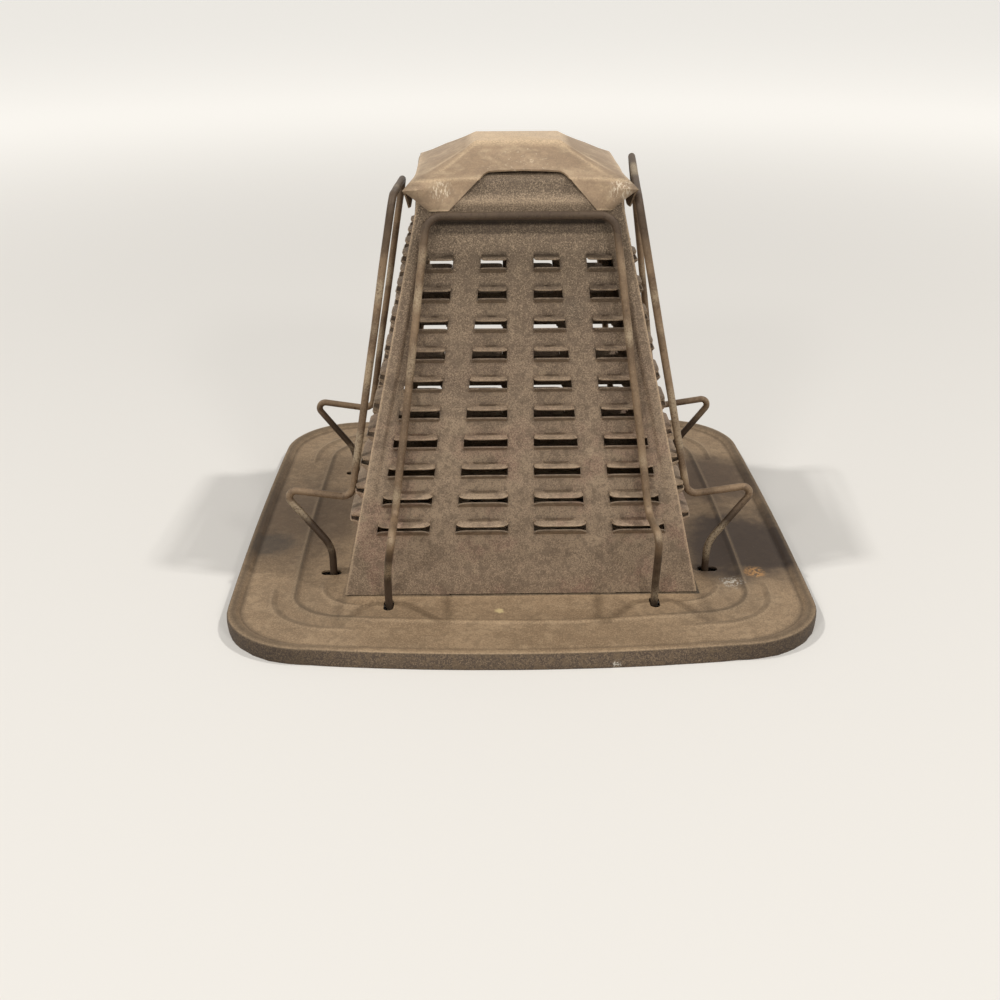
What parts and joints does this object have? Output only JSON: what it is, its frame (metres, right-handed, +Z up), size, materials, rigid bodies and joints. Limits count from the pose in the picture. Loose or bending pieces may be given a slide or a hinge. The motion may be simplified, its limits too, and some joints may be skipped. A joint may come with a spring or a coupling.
{
  "type": "stovetop toaster",
  "caption": "Pyramid stovetop toaster: square pan, slotted pyramid with folded cap, and bent wire bread racks that swing out on their turned feet.",
  "frame": {"origin": "centre of the pan in plan, at the height of the table it stands on", "axes": "+Z up, the wall seen in the picture faces -Y, +X to its right"},
  "size_m": [0.21, 0.21, 0.1555],
  "materials": {
    "pan_tin": "aged brown tinplate, dull",
    "wall_tin": "aged grey-brown tinplate, dull, fine grain",
    "cap_tin": "lighter tan tinplate, worn at the folds",
    "wire": "dark brown oxidised steel wire"
  },
  "bodies": {
    "frame": {"base_plate": "pan_tin", "wall_front": "wall_tin", "wall_back": "wall_tin", "wall_left": "wall_tin", "wall_right": "wall_tin", "cap": "cap_tin"},
    "rack_front": {"rack_front": "wire"},
    "rack_back": {"rack_back": "wire"},
    "rack_left": {"rack_left": "wire"},
    "rack_right": {"rack_right": "wire"}
  },
  "joints": [
    {"name": "front_rack_swing", "type": "hinge", "parent": "frame", "child": "rack_front", "pos_m": [0, -0.0693, 0.00255], "axis": [1, 0, 0], "range_deg": [0, 45]},
    {"name": "back_rack_swing", "type": "hinge", "parent": "frame", "child": "rack_back", "pos_m": [0, 0.0693, 0.00255], "axis": [-1, 0, 0], "range_deg": [0, 45]},
    {"name": "left_rack_swing", "type": "hinge", "parent": "frame", "child": "rack_left", "pos_m": [-0.0693, 0, 0.00255], "axis": [0, -1, 0], "range_deg": [0, 45]},
    {"name": "right_rack_swing", "type": "hinge", "parent": "frame", "child": "rack_right", "pos_m": [0.0693, 0, 0.00255], "axis": [0, 1, 0], "range_deg": [0, 45]}
  ]
}
